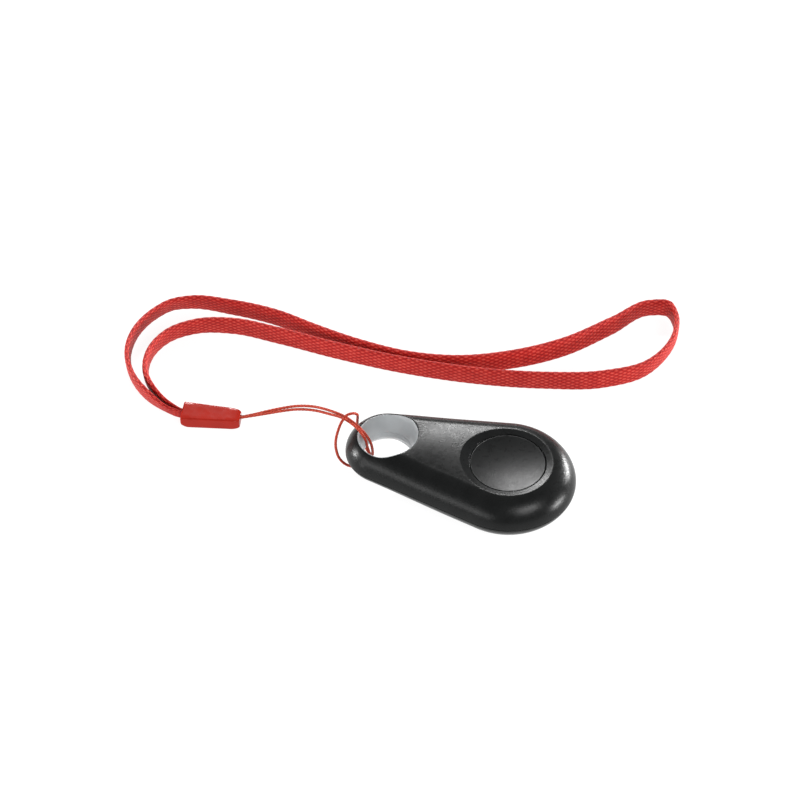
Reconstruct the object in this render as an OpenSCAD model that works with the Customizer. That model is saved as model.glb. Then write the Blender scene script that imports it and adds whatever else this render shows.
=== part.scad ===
// Camera shutter remote: a teardrop case with a round button, an eyelet, and a wrist strap.
// X runs along the case towards the button, Z is up, and the underside of the case is at zero.
// The origin is below the middle of the case's length and width.

/* [Case] */
// Length of the case over both round ends
case_length = 52; // [48:0.5:62]
// Radius of the wide end, around the button
wide_r = 15.1; // [14.8:0.1:17]
// Radius of the narrow end, around the eyelet
narrow_r = 9.4; // [9.1:0.1:10.4]
// Height of the parting line above the rest face
seam_z = 5.4; // [5.2:0.1:6]
// Height of the top face above the parting line
top_rise = 5.9; // [5.7:0.1:6.8]
// Depth of the underside below the parting line at the narrow end
tail_drop = 4.4; // [3.6:0.1:5]
// Width of the rounded edge, seen from above
edge_w = 5.6; // [5.2:0.1:6]
// Wall of both shells
wall = 1.3; // [1.1:0.05:1.4]
// Open gap at the parting line
seam_gap = 0.12; // [0.08:0.01:0.2]
// Wall of the snap lip inside the parting line
lip_wall = 0.7; // [0.5:0.05:0.8]
// Height of the snap lip above the parting line
lip_rise = 0.8; // [0.5:0.05:1]

/* [Eyelet] */
// Outer radius of the liner
liner_r = 6.75; // [6.4:0.05:6.9]
// Radius of the liner's waist, the clear hole
waist_r = 5.3; // [4.8:0.05:5.6]
// Wall of the liner at its lips
liner_lip = 0.15; // [0.1:0.01:0.3]
// Height of the straight part of the waist
waist_h = 1.1; // [0.8:0.1:1.5]
// Gap between the liner and the shells
liner_gap = 0.05; // [0.02:0.01:0.1]
// Width of solid plastic around the liner
eyelet_band = 1.6; // [1.4:0.1:2]

/* [Button] */
// Radius of the button cap
button_r = 8.28; // [7.8:0.02:8.5]
// Gap around the button
button_gap = 0.12; // [0.08:0.01:0.2]
// Depth of the conical sink around the button
sink_depth = 0.7; // [0.5:0.05:0.9]
// Width of the conical sink around the button
sink_w = 1.5; // [1:0.1:1.6]
// Step from the sink's foot down to the button's edge
button_step = 0.1; // [0.05:0.01:0.2]
// Depth of the dish in the button
dish_h = 0.45; // [0.2:0.05:0.6]
// Thickness of the button's top
button_top = 1.1; // [0.9:0.05:1.2]
// Width of the flange that keeps the button in
flange_w = 0.55; // [0.4:0.05:0.7]
// Thickness of that flange
flange_t = 0.6; // [0.5:0.05:0.7]
// Wall of the button's skirt
skirt_wall = 1; // [0.8:0.05:1.3]
// Radius of the pip that pushes the switch
pip_r = 1.6; // [1.2:0.1:2]
// Free play between the pip and the switch key
free_play = 0.1; // [0.05:0.01:0.12]

/* [Battery] */
// Radius of the coin cell
cell_r = 10; // [9.8:0.05:10.05]
// Thickness of the coin cell
cell_t = 3.2; // [3:0.05:3.25]
// Sheet thickness of the cell's can and cap
cell_sheet = 0.25; // [0.2:0.01:0.3]
// Width of the cell's rim around its cap
cell_rim_w = 1.1; // [1:0.05:1.3]
// Height of the well's floor above the rest face
cell_z = 1.85; // [1.8:0.05:2]
// Gap around the cell in its well
cell_gap = 0.15; // [0.1:0.01:0.2]
// Wall of the well
well_wall = 0.8; // [0.6:0.05:1]
// Sheet thickness of both contacts
contact_t = 0.2; // [0.15:0.01:0.25]

/* [Electronics] */
// Thickness of the circuit board
board_t = 0.8; // [0.6:0.05:1]
// Gap between the cell and the board
board_lift = 0.5; // [0.45:0.01:0.6]
// Gap from the snap lip to the board's edge
board_gap = 0.2; // [0.15:0.01:0.4]
// Side of the square switch
switch_side = 4.6; // [4.4:0.1:5.2]
// Height of the switch housing
switch_h = 1.3; // [1.25:0.05:1.4]
// Thickness of the switch's cover
cover_t = 0.15; // [0.1:0.01:0.2]
// Height of the key above the cover
key_out = 0.45; // [0.4:0.01:0.5]
// Radius of the key
key_r = 1.15; // [1:0.05:1.3]
// Side of the square radio chip
chip_side = 5; // [4:0.1:5.6]

/* [Strap] */
// Width of the woven strap
strap_w = 5.2; // [4.6:0.1:5.4]
// Thickness of the woven strap
strap_t = 1.3; // [1:0.1:1.4]
// Diameter of the string
string_d = 0.65; // [0.5:0.05:0.65]
// Length of the clamp
clamp_l = 13.4; // [12:0.1:14.5]
// Width of the clamp
clamp_w = 5.6; // [5.2:0.1:6.2]
// Height of the clamp
clamp_h = 3.1; // [3:0.1:3.5]

/* [Hidden] */

// Overrun of every cut, and the facets of true circles
over = 0.2;
fine = 96;

// Places along the case
wide_x = case_length / 2 - wide_r;
eyelet_x = narrow_r - case_length / 2;
centre_gap = wide_x - eyelet_x;
taper = asin((wide_r - narrow_r) / centre_gap);
top_z = seam_z + top_rise;
rest_r = wide_r - edge_w;

// Rounded edge: exponent of its curve, steps around the outline and shares of its width
edge_power = 1.6;
wide_steps = 36;
flank_steps = 7;
narrow_steps = 24;
edge_shares = [0, 0.015, 0.05, 0.11, 0.2, 0.31, 0.44, 0.6, 0.79, 1];
inner_edge_shares = [0, 0.02, 0.06, 0.18, 0.35, 0.6, 1];

// Each place on the outline: share of the way to the narrow end, and the wall's direction
outline = concat(
    [for (i = [0 : wide_steps]) [0, i * (180 + 2 * taper) / wide_steps - 90 - taper]],
    [for (i = [1 : flank_steps - 1]) [i / flank_steps, 90 + taper]],
    [for (i = [0 : narrow_steps]) [1, 90 + taper + i * (180 - 2 * taper) / narrow_steps]],
    [for (i = [1 : flank_steps - 1]) [1 - i / flank_steps, 270 - taper]]
);
places = len(outline);
button_tip = wide_steps / 2;
tail_tip = wide_steps + flank_steps + narrow_steps / 2;

// Snap lip
lip_gap = 0.4;
lip_root = 0.5;
shelf_h = 1.6;
lip_out = wall + lip_gap;
lip_in = lip_out + lip_wall;

// Eyelet
eyelet_r = liner_r + liner_gap;
band_r = eyelet_r + eyelet_band;
band_gap = 0.3;
flare_power = 1.5;
flare_steps = 8;

// Button and its opening
opening_r = button_r + button_gap;
roof_z = top_z - wall;
button_z = top_z - sink_depth - button_step;
button_under = button_z - button_top;
flange_play = 0.1;
flange_room = 0.3;
flange_z = roof_z - flange_play;
dish_steps = 8;

// Heights of the stack under the button
cell_top = cell_z + cell_t;
board_z = cell_top + board_lift;
board_top = board_z + board_t;
cover_z = board_top + switch_h;
key_top = cover_z + cover_t + key_out;
pip_end = key_top + free_play;

// Board and what holds it: four posts around the cell, of which the two behind carry pins
board_inset = lip_in + board_gap;
post_r = 0.8;
post_place = cell_r + cell_gap + well_wall + post_r / 2;
head_turn = 50;
tail_turn = 130;
pin_r = 0.5;
pin_gap = 0.1;
pin_rise = 0.5;
hold_r = 1.2;
hold_gap = 0.05;

// Inside of the coin cell
cell_cap_r = cell_r - cell_rim_w;
crimp_w = 0.6;
can_short = 0.2;
cap_lift = 0.4;
core_gap = 0.05;

// Switch: floor, dome, flange of the key, legs and tabs
switch_floor = 0.25;
pocket_wall = 0.4;
dome_wall = 0.15;
dome_h = 0.45;
dome_t = 0.08;
dome_steps = 8;
key_flange_w = 0.55;
key_flange_t = 0.3;
key_flange_gap = 0.05;
key_boss_r = 0.6;
cover_gap = 0.1;
leg_w = 0.7;
leg_l = 1;
leg_t = 0.15;
leg_rise = 0.6;
leg_place_share = 0.65;
tab_w = 1.6;
tab_h = 0.7;

// Contacts
leaf_w = 3;
foot_l = 3;
leaf_foot_share = 0.35;
leaf_reach_share = 0.1;
leaf_tip_share = 0.25;
side_contact_w = 3.6;
side_contact_turn = 34;
side_contact_gap = 0.02;
side_contact_drop = 2.6;
notch_gap = 0.4;

// Small parts on the board, and the board's free length between the switch and the eyelet
free_l = centre_gap - band_r - band_gap - switch_side / 2 - leg_l;
chip_h = 0.85;
chip_x_share = 0.6;
dot_r = 0.3;
dot_depth = 0.05;
dot_in = 0.8;
crystal_size = [3.2, 2.5, 0.7];
capacitor_size = [1, 0.5, 0.5];
resistor_size = [1, 0.5, 0.35];
led_size = [1.6, 0.8, 0.3];
lens_size = [1, 0.8, 0.35];
// Their places, as shares of the wide end's radius, from the button's axis
crystal_shares = [-0.46, -0.34];
led_shares = [0.1, 0.58];
capacitor_shares = [[0.36, 0.14], [0.36, -0.14], [0.5, 0.3], [0.5, -0.3], [0.62, 0], [0.08, -0.55]];
resistor_shares = [[0.3, 0.46], [-0.12, 0.5], [-0.3, -0.56], [0.32, -0.46]];
// Antenna trace: width, height, pitch and number of turns
trace_w = 0.4;
trace_t = 0.07;
trace_pitch = 0.9;
trace_turns = 4;
trace_l = 2.4;
trace_x_share = 0.825;
trace_y_share = 0.4;

// Clamp: place of its left end, turn, tapers and pockets, which sit off its middle
clamp_place = [-65.6, -0.5];
clamp_turn = 11;
clamp_nose_w = 4.3;
clamp_tip_w = 2.8;
clamp_corner = 2.4;
clamp_chamfer = 0.9;
clamp_edge = 0.45;
tuck_across = 0.35;
tuck_gap = 0.12;
strap_tuck = 4.2;
tuck_share = 0.44;
// The string's two ends lie aslant to each other, above the clamp's middle
string_tuck = 4.45;
string_lift = 0.4;
pair_turn = -35;

// Strap: share of its width and thickness at each corner of its section
strap_shares = [
    [0.5, 0.2], [0.36, 0.5], [-0.36, 0.5], [-0.5, 0.2],
    [-0.5, -0.2], [-0.36, -0.5], [0.36, -0.5], [0.5, -0.2]
];
// The strap stands on its edge and leans this way
lean_turn = -72;
// Route of the strap from the clamp and back: x, y, z, lean in degrees, share of full size
strap_route = [
    [-61.6, 0.24, 1.55, 0, 0.44], [-65.7, -0.56, 1.55, 0, 0.44], [-68.9, -0.5, 2, 22, 0.7],
    [-74.3, 1.4, 2.7, 19, 1], [-80.7, 6.5, 2.7, 17, 1], [-84.3, 12.4, 2.7, 18, 1],
    [-85.4, 20.2, 2.7, 22, 1], [-83.4, 27.4, 2.7, 22, 1], [-81, 31, 2.7, 20, 1], [-76.6, 33.5, 2.7, 14, 1],
    [-67.1, 34.8, 2.7, 6, 1], [-55, 34.7, 2.7, 2, 1], [-45.5, 32.9, 2.7, 0, 1], [-34, 31.3, 2.7, 0, 1],
    [-21, 31.1, 2.7, 0, 1], [-9.8, 33.4, 2.7, -2, 1], [0, 37.8, 2.7, -8, 1], [11.5, 46.1, 2.7, -11, 1],
    [20.5, 56.5, 2.7, -7, 1], [27.5, 65.1, 2.7, 4, 1], [31.8, 66.1, 2.7, 3, 1], [34.2, 63.1, 2.7, 4, 1],
    [35.3, 57.4, 2.7, 9, 1], [34.5, 51.8, 2.7, 10, 1], [31.1, 44.8, 2.7, 4, 1], [23, 38.8, 2.7, -3, 1],
    [9.8, 34.1, 2.7, 0, 1], [-6, 30.7, 2.7, 0, 1], [-23, 28.9, 2.7, 0, 1], [-39, 28.7, 2.7, 0, 1],
    [-53, 29.2, 2.7, 0, 1], [-64.5, 28.9, 2.7, 3, 1], [-72.5, 26.2, 2.7, 8, 1], [-77.6, 21.4, 2.7, 12, 1],
    [-79.5, 15.3, 2.7, 16, 1], [-78.3, 8.7, 2.7, 19, 1], [-73.8, 3.3, 2.7, 21, 1],
    [-69.6, 1.1, 2.05, 22, 0.74], [-65.8, 0.11, 1.55, 0, 0.44], [-61.8, 0.91, 1.55, 0, 0.44]
];
// Route of the string: from the clamp through the eyelet, round the case and back
string_sides = 8;
string_route = [
    [-56.85, 1.95, 1.7], [-52.6, 2.75, 1.7], [-50.45, 3.45, 2.25], [-46.95, 4.1, 3.9],
    [-43.4, 4.6, 5.6], [-39.75, 4.8, 7.3], [-35.55, 4.3, 9], [-31.05, 3.1, 10.3],
    [-27.7, 2.2, 10.65], [-24.95, 0.7, 11.05], [-22.5, -0.7, 10.85], [-20.85, -1.2, 9.35],
    [-20, -0.5, 4.4], [-20.4, 0.3, 2.2], [-21.6, 1.8, 1], [-23.4, 3.7, 1], [-24.9, 5.1, 2.4],
    [-25.6, 5.6, 4.8], [-25.4, 5.1, 7.2], [-25, 4.1, 9.4], [-24.8, 3, 11.3], [-25.3, 2, 12.4],
    [-26.3, 1.1, 12.5], [-27.1, 0, 11.5], [-27.7, -1, 9.6], [-27.8, -2.7, 4.7], [-26.8, -3.2, 2.4],
    [-25.2, -3.2, 1], [-23.2, -3, 0.8], [-21.2, -2.5, 1.4], [-20.3, -2, 3], [-20.8, -1.9, 7.4],
    [-21.1, -2, 9.25], [-22.7, -1.4, 11.15], [-25.3, 0.1, 11.35], [-28, 1.5, 10.75],
    [-31.1, 2.45, 9.9], [-35.45, 3.7, 8.45], [-39.65, 4.15, 6.9], [-43.25, 3.9, 5.4],
    [-46.85, 3.4, 3.9], [-50.4, 2.8, 2.55], [-52.45, 2.05, 2.2], [-56.7, 1.2, 2.2]
];

function mix(a, b, s) = a + (b - a) * s;
function clip(s) = min(max(s, 0), 1);
function smooth(s) = s * s * (3 - 2 * s);
function unit(v) = v / norm(v);
function edge_curve(s) = pow(1 - pow(1 - s, edge_power), 1 / edge_power);

// Depth of the underside below the parting line, less towards the narrow end
function drop_at(x) = mix(seam_z, tail_drop, smooth(clip((wide_x - rest_r - x) / (centre_gap - rest_r))));

// A point of the outline, moved in by an inset
function outline_point(o, inset) =
    let (r = mix(wide_r, narrow_r, o[0]) - inset)
    [mix(wide_x, eyelet_x, o[0]) + r * cos(o[1]), r * sin(o[1])];

// One ring of a case surface, which up puts above the parting line (1) or below it (-1)
function case_ring(up, inset, base, share) = [
    for (o = outline)
        let (p = outline_point(o, inset + share * edge_w))
        let (h = (up > 0 ? top_rise : drop_at(p[0])) - inset - base)
        [p[0], p[1], seam_z + up * (base + h * edge_curve(share))]
];

// Closed half of the case, or of its hollow where inset is a wall. A hollow's foot crosses the
// parting line. The last ring is closed by strips from side to side.
module half_case(up, inset, base, shares) {
    foot = inset > 0 ? -over : base;
    rings = concat(
        [[for (o = outline) let (p = outline_point(o, inset)) [p[0], p[1], seam_z + up * foot]]],
        [for (s = shares) if (s > 0 || inset > 0) case_ring(up, inset, base, s)]
    );
    last = (len(rings) - 1) * places;
    sides = [
        for (k = [0 : len(rings) - 2], i = [0 : places - 1])
            let (a = k * places + i, b = k * places + (i + 1) % places)
            each [[a, a + places, b], [b, a + places, b + places]]
    ];
    roof = [
        for (i = [button_tip : tail_tip - 1])
            let (a = last + i, b = last + (places + wide_steps - i) % places)
            let (c = last + (places + wide_steps - i - 1) % places)
            each concat(
                i == button_tip ? [] : [[a, b, a + 1]],
                i == tail_tip - 1 ? [] : [[a + 1, i == button_tip ? a : b, c]]
            )
    ];
    faces = concat([[for (i = [0 : places - 1]) i]], sides, roof);
    polyhedron(
        points = [for (r = rings) each r],
        faces = up > 0 ? faces : [for (f = faces) [for (i = [len(f) - 1 : -1 : 0]) f[i]]]
    );
}

// Flat teardrop, with an inset from the case's outline
module teardrop(inset) {
    polygon([for (o = outline) outline_point(o, inset)]);
}

module at_button() {
    translate([wide_x, 0, 0]) children();
}

module at_eyelet() {
    translate([eyelet_x, 0, 0]) children();
}

// The two posts around the cell that stand at these turns from the case's axis
module at_posts(turn) {
    at_button() for (side = [-1, 1]) rotate(side * turn) translate([post_place, 0, 0]) children();
}

module rod(r, z0, z1) {
    translate([0, 0, z0]) cylinder(r = r, h = z1 - z0, $fn = fine);
}

// Solid left standing in the hollows around the liner
module eyelet_solid() {
    at_eyelet() rod(band_r, -over, top_z + over);
}

module top_shell() {
    color("#202222") difference() {
        half_case(1, 0, 0, edge_shares);
        difference() {
            half_case(1, wall, 0, inner_edge_shares);
            eyelet_solid();
            at_posts(tail_turn) difference() {
                rod(hold_r, board_top + hold_gap, top_z);
                rod(pin_r + pin_gap, board_top, board_top + pin_rise + pin_gap);
            }
        }
        at_button() rod(opening_r + flange_w + flange_room, roof_z - wall, roof_z);
        at_button() rod(opening_r, roof_z - wall, top_z);
        at_button() translate([0, 0, top_z - sink_depth])
            cylinder(r1 = opening_r, r2 = opening_r + sink_w, h = sink_depth, $fn = fine);
        at_button() rod(opening_r + sink_w, top_z, top_z + over);
        at_eyelet() rod(eyelet_r, seam_z - over, top_z + over);
    }
}

// Room inside the lower shell, around its posts, cell well and lip shelf
module lower_room() {
    difference() {
        half_case(-1, wall, 0, inner_edge_shares);
        eyelet_solid();
        difference() {
            translate([0, 0, seam_z - shelf_h]) linear_extrude(shelf_h + 2 * over) teardrop(0);
            translate([0, 0, seam_z - shelf_h - over]) linear_extrude(shelf_h + 4 * over) teardrop(lip_in);
        }
        at_button() difference() {
            rod(cell_r + cell_gap + well_wall, 0, cell_top - can_short);
            rod(cell_r - well_wall, -over, cell_z);
            rod(cell_r + cell_gap, cell_z, seam_z);
            well_notch();
        }
        for (turn = [head_turn, tail_turn]) at_posts(turn) rod(post_r, 0, seam_z + over);
    }
}

module well_notch() {
    reach = well_wall + notch_gap;
    rotate(side_contact_turn) translate([-cell_r - cell_gap - reach, -side_contact_w / 2 - notch_gap, cell_z])
        cube([reach + well_wall, side_contact_w + 2 * notch_gap, seam_z]);
}

module bottom_shell() {
    color("#202222") {
        difference() {
            half_case(-1, 0, seam_gap, edge_shares);
            lower_room();
            at_button() rod(cell_r + cell_gap, cell_z, seam_z + over);
            at_eyelet() rod(eyelet_r, -over, seam_z + over);
        }
        difference() {
            translate([0, 0, seam_z - lip_root - seam_gap]) linear_extrude(lip_root + seam_gap + lip_rise)
                difference() {
                    teardrop(lip_out);
                    teardrop(lip_in);
                }
            at_eyelet() rod(band_r + band_gap, 0, top_z);
        }
        for (turn = [head_turn, tail_turn]) at_posts(turn) rod(post_r, seam_z - lip_root, board_z);
        at_posts(tail_turn) rod(pin_r, seam_z, board_top + pin_rise);
    }
}

// Light liner of the eyelet: flared at both lips, straight at its waist, flush with the case
module eyelet_ring() {
    lip = liner_r - liner_lip;
    lip_share = (narrow_r - lip) / edge_w;
    up = top_rise * edge_curve(lip_share);
    down = tail_drop * edge_curve(lip_share) - waist_h;
    flare = [for (i = [0 : flare_steps]) i / flare_steps];
    color("#c9cccc") intersection() {
        at_eyelet() rotate_extrude($fn = fine) polygon(concat(
            [[liner_r, -over], [lip, -over]],
            [for (i = [flare_steps : -1 : 0]) let (s = flare[i])
                [mix(waist_r, lip, pow(s, flare_power)), seam_z - waist_h - down * s]],
            [for (s = flare) [mix(waist_r, lip, pow(s, flare_power)), seam_z + up * s]],
            [[lip, top_z + over], [liner_r, top_z + over]]
        ));
        union() {
            half_case(1, 0, 0, edge_shares);
            half_case(-1, 0, 0, edge_shares);
        }
    }
}

module button_cap() {
    skirt_foot = flange_z - flange_t;
    color("#1c1e1e") at_button() {
        rotate_extrude($fn = fine) polygon(concat(
            [[0, pip_end], [pip_r, pip_end], [pip_r, button_under], [button_r - skirt_wall, button_under]],
            [[button_r - skirt_wall, skirt_foot], [opening_r + flange_w, skirt_foot]],
            [[opening_r + flange_w, flange_z], [button_r, flange_z]],
            [for (i = [dish_steps : -1 : 0]) let (s = i / dish_steps)
                [button_r * s, button_z - dish_h * (1 - s * s)]]
        ));
    }
}

module circuit_board() {
    color("#1d5f3a") translate([0, 0, board_z]) linear_extrude(board_t) difference() {
        teardrop(board_inset);
        translate([eyelet_x, 0]) circle(r = band_r + band_gap, $fn = fine);
        at_posts(tail_turn) circle(r = pin_r + pin_gap, $fn = fine);
    }
}

// Place along the board, as a share of its free length from the switch towards the eyelet
function along_board(share) = wide_x - switch_side / 2 - leg_l - share * free_l;

module on_board(shares) {
    translate([wide_x + shares[0] * wide_r, shares[1] * wide_r, board_top]) children();
}

module brick(size) {
    translate([-size[0] / 2, -size[1] / 2, 0]) cube(size);
}

module bluetooth_chip() {
    color("#161616") translate([along_board(chip_x_share), 0, board_top]) difference() {
        brick([chip_side, chip_side, chip_h]);
        translate([dot_in - chip_side / 2, chip_side / 2 - dot_in, 0])
            rod(dot_r, chip_h - dot_depth, chip_h + over);
    }
}

module crystal() {
    color("#b9bcc0") on_board(crystal_shares) brick(crystal_size);
}

module capacitors() {
    color("#9a7b58") for (s = capacitor_shares) on_board(s) brick(capacitor_size);
}

module resistors() {
    color("#2a2a2e") for (s = resistor_shares) on_board(s) brick(resistor_size);
}

module status_led() {
    color("#e8e4cf") on_board(led_shares) {
        brick(led_size);
        translate([0, 0, led_size[2]]) brick(lens_size);
    }
}

// Folded trace beside the chip
module antenna() {
    place = [along_board(trace_x_share), trace_y_share * narrow_r, board_top];
    color("#b87333") translate(place) linear_extrude(trace_t) {
        for (i = [0 : trace_turns]) {
            translate([0, i * trace_pitch]) square([trace_l, trace_w]);
        }
        for (i = [0 : trace_turns - 1]) {
            translate([i % 2 == 0 ? trace_l - trace_w : 0, i * trace_pitch])
                square([trace_w, trace_pitch + trace_w]);
        }
    }
}

module switch_base() {
    color("#3a3a3a") at_button() difference() {
        translate([0, 0, board_top]) brick([switch_side, switch_side, switch_h]);
        rod(switch_side / 2 - pocket_wall, board_top + switch_floor, cover_z + over);
    }
}

module switch_legs() {
    color("#c8c8cc") at_button() for (x = [-1, 1], y = [-1, 1]) {
        translate([x * switch_side / 2, y * leg_place_share * switch_side / 2, board_top]) {
            translate([x > 0 ? 0 : -leg_l, -leg_w / 2, 0]) cube([leg_l, leg_w, leg_t]);
            translate([x > 0 ? 0 : -leg_t, -leg_w / 2, 0]) cube([leg_t, leg_w, leg_rise]);
        }
    }
}

// Snap dome, the spring of the switch and of the button
module switch_dome() {
    foot = board_top + switch_floor;
    outer = switch_side / 2 - pocket_wall - dome_wall;
    rise = [for (i = [0 : dome_steps]) i / dome_steps];
    color("#d0d0d4") at_button() rotate_extrude($fn = fine) polygon(concat(
        [for (s = rise) [outer * (1 - s), foot + dome_t + dome_h * (1 - pow(1 - s, 2))]],
        [for (i = [dome_steps : -1 : 0]) let (s = rise[i])
            [outer * (1 - s), foot + dome_h * (1 - pow(1 - s, 2))]]
    ));
}

module switch_plunger() {
    dome_top = board_top + switch_floor + dome_h + dome_t;
    flange_top = cover_z - key_flange_gap;
    color("#8c2f2f") at_button() {
        rod(key_boss_r, dome_top, flange_top);
        rod(key_r + key_flange_w, flange_top - key_flange_t, flange_top);
        rod(key_r, flange_top - key_flange_t, key_top);
    }
}

module switch_cover() {
    color("#c8c8cc") at_button() {
        difference() {
            translate([0, 0, cover_z]) brick([switch_side, switch_side, cover_t]);
            rod(key_r + cover_gap, cover_z - over, cover_z + cover_t + over);
        }
        for (side = [-1, 1]) {
            translate([0, side * (switch_side + cover_t) / 2, cover_z + cover_t - tab_h])
                brick([tab_w, cover_t, tab_h]);
        }
    }
}

module battery_can() {
    h = cell_t - can_short;
    color("#b4b6b8") at_button() translate([0, 0, cell_z]) rotate_extrude($fn = fine) polygon([
        [0, 0], [cell_r, 0], [cell_r, h], [cell_r - crimp_w, h], [cell_r - crimp_w, h - cell_sheet],
        [cell_r - cell_sheet, h - cell_sheet], [cell_r - cell_sheet, cell_sheet], [0, cell_sheet]
    ]);
}

module battery_gasket() {
    color("#4a4a4c") at_button() difference() {
        rod(cell_r - cell_sheet, cell_z + cell_sheet, cell_top - can_short - cell_sheet);
        rod(cell_cap_r, cell_z, cell_top);
    }
}

module battery_cap() {
    color("#c0c2c4") at_button() difference() {
        rod(cell_cap_r, cell_z + cell_sheet + cap_lift, cell_top);
        rod(cell_cap_r - cell_sheet, cell_z, cell_top - cell_sheet);
    }
}

module battery_core() {
    color("#3c3c40") at_button()
        rod(cell_cap_r - cell_sheet - core_gap, cell_z + cell_sheet, cell_top - cell_sheet);
}

module positive_contact() {
    leg = cell_r + side_contact_gap;
    color("#c9b27a") at_button() rotate(side_contact_turn)
        translate([0, side_contact_w / 2, 0]) rotate([90, 0, 0])
        linear_extrude(side_contact_w) polygon([
            [-leg, cell_top - side_contact_drop], [-leg, board_z], [-leg - foot_l, board_z],
            [-leg - foot_l, board_z - contact_t], [-leg - contact_t, board_z - contact_t],
            [-leg - contact_t, cell_top - side_contact_drop]
        ]);
}

module negative_contact() {
    foot = leaf_foot_share * cell_r;
    touch = -leaf_reach_share * cell_r;
    tip = -leaf_tip_share * cell_r;
    tip_z = mix(cell_top, board_z - contact_t, leaf_foot_share);
    color("#c9b27a") at_button() translate([0, leaf_w / 2, 0]) rotate([90, 0, 0])
        linear_extrude(leaf_w) polygon([
            [foot + foot_l, board_z], [foot, board_z], [touch, cell_top + contact_t],
            [tip, tip_z + contact_t], [tip, tip_z], [touch, cell_top],
            [foot, board_z - contact_t], [foot + foot_l, board_z - contact_t]
        ]);
}

// Clamp in its own place: its length along X from zero, its width across, its foot at zero
module clamp_body() {
    half = clamp_w / 2;
    nose = clamp_nose_w / 2;
    tip = clamp_tip_w / 2;
    end = clamp_l - clamp_corner;
    intersection() {
        linear_extrude(clamp_h)
            polygon([[0, -half], [end, -nose], [clamp_l, -tip], [clamp_l, tip], [end, nose], [0, half]]);
        translate([0, clamp_w, 0]) rotate([90, 0, 0]) linear_extrude(2 * clamp_w) polygon([
            [clamp_chamfer, 0], [end, 0], [clamp_l, clamp_edge], [clamp_l, clamp_h - clamp_edge],
            [end, clamp_h], [clamp_edge, clamp_h], [0, clamp_h - clamp_edge], [0, clamp_chamfer]
        ]);
    }
}

module strap_clamp() {
    tuck_w = 2 * strap_t * tuck_share + 3 * tuck_gap;
    tuck_h = strap_w * tuck_share + 2 * tuck_gap;
    color("#bb3a32") translate([clamp_place[0], clamp_place[1], 0]) rotate(clamp_turn) difference() {
        clamp_body();
        translate([-over, tuck_across - tuck_w / 2, (clamp_h - tuck_h) / 2])
            cube([strap_tuck + over, tuck_w, tuck_h]);
        translate([clamp_l - string_tuck, tuck_across, clamp_h / 2 + string_lift]) rotate([pair_turn, 0, 0])
            for (side = [-1, 1]) translate([0, side * (string_d / 2 + tuck_gap), 0]) rotate([0, 90, 0])
                cylinder(d = string_d + tuck_gap, h = string_tuck + over, $fn = fine);
    }
}

function heading(route, i) = unit(
    [for (k = [0 : 2]) route[min(i + 1, len(route) - 1)][k] - route[max(i - 1, 0)][k]]
);

// Closed tube through rings of equal length
module swept(rings) {
    n = len(rings[0]);
    last = (len(rings) - 1) * n;
    sides = [
        for (k = [0 : len(rings) - 2], i = [0 : n - 1])
            let (a = k * n + i, b = k * n + (i + 1) % n)
            each [[a, b, a + n], [b, b + n, a + n]]
    ];
    polyhedron(
        points = [for (r = rings) each r],
        faces = concat([[for (i = [n - 1 : -1 : 0]) i]], sides, [[for (i = [0 : n - 1]) last + i]])
    );
}

module wrist_strap() {
    rings = [
        for (i = [0 : len(strap_route) - 1])
            let (p = strap_route[i], t = heading(strap_route, i))
            let (lean = [sin(p[3]) * cos(lean_turn), sin(p[3]) * sin(lean_turn), cos(p[3])])
            let (across = unit(lean - (lean * t) * t), through = cross(t, across))
            [for (s = strap_shares)
                [p[0], p[1], p[2]] + p[4] * (s[0] * strap_w * across + s[1] * strap_t * through)]
    ];
    color("#c83232") swept([for (r = rings) [for (i = [len(r) - 1 : -1 : 0]) r[i]]]);
}

module string_loop() {
    count = len(string_route);
    headings = [for (i = [0 : count - 1]) heading(string_route, i)];
    sides = [
        for (i = 0, a = unit(cross(headings[0], [0, 0, 1])); i < count; i = i + 1,
            a = i < count ? unit(a - (a * headings[i]) * headings[i]) : a) a
    ];
    rings = [
        for (i = [0 : count - 1])
            let (a = sides[i], b = cross(headings[i], a))
            [for (k = [0 : string_sides - 1]) let (turn = k * 360 / string_sides)
                string_route[i] + (a * cos(turn) + b * sin(turn)) * string_d / 2]
    ];
    color("#d2503c") swept(rings);
}

top_shell();
bottom_shell();
eyelet_ring();
button_cap();
circuit_board();
bluetooth_chip();
crystal();
capacitors();
resistors();
status_led();
antenna();
switch_base();
switch_legs();
switch_dome();
switch_plunger();
switch_cover();
battery_can();
battery_gasket();
battery_cap();
battery_core();
positive_contact();
negative_contact();
strap_clamp();
wrist_strap();
string_loop();
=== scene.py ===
"""Looks of the camera shutter remote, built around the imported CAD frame. Lengths here are in millimetres."""

import math

import bmesh
import bpy
import numpy as np
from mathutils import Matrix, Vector


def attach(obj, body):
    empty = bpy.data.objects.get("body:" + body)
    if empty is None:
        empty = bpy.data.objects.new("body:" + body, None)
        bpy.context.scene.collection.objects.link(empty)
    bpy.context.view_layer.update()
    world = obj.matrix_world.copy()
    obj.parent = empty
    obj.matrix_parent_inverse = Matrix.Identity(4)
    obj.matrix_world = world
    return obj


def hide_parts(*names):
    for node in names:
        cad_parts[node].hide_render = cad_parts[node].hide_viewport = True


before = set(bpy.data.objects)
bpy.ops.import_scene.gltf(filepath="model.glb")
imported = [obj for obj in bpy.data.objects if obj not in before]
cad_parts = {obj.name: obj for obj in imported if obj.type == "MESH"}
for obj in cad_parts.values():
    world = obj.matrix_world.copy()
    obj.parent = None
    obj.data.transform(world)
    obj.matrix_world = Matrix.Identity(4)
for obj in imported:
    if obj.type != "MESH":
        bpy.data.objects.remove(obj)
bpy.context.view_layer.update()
MM = 0.001

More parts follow.
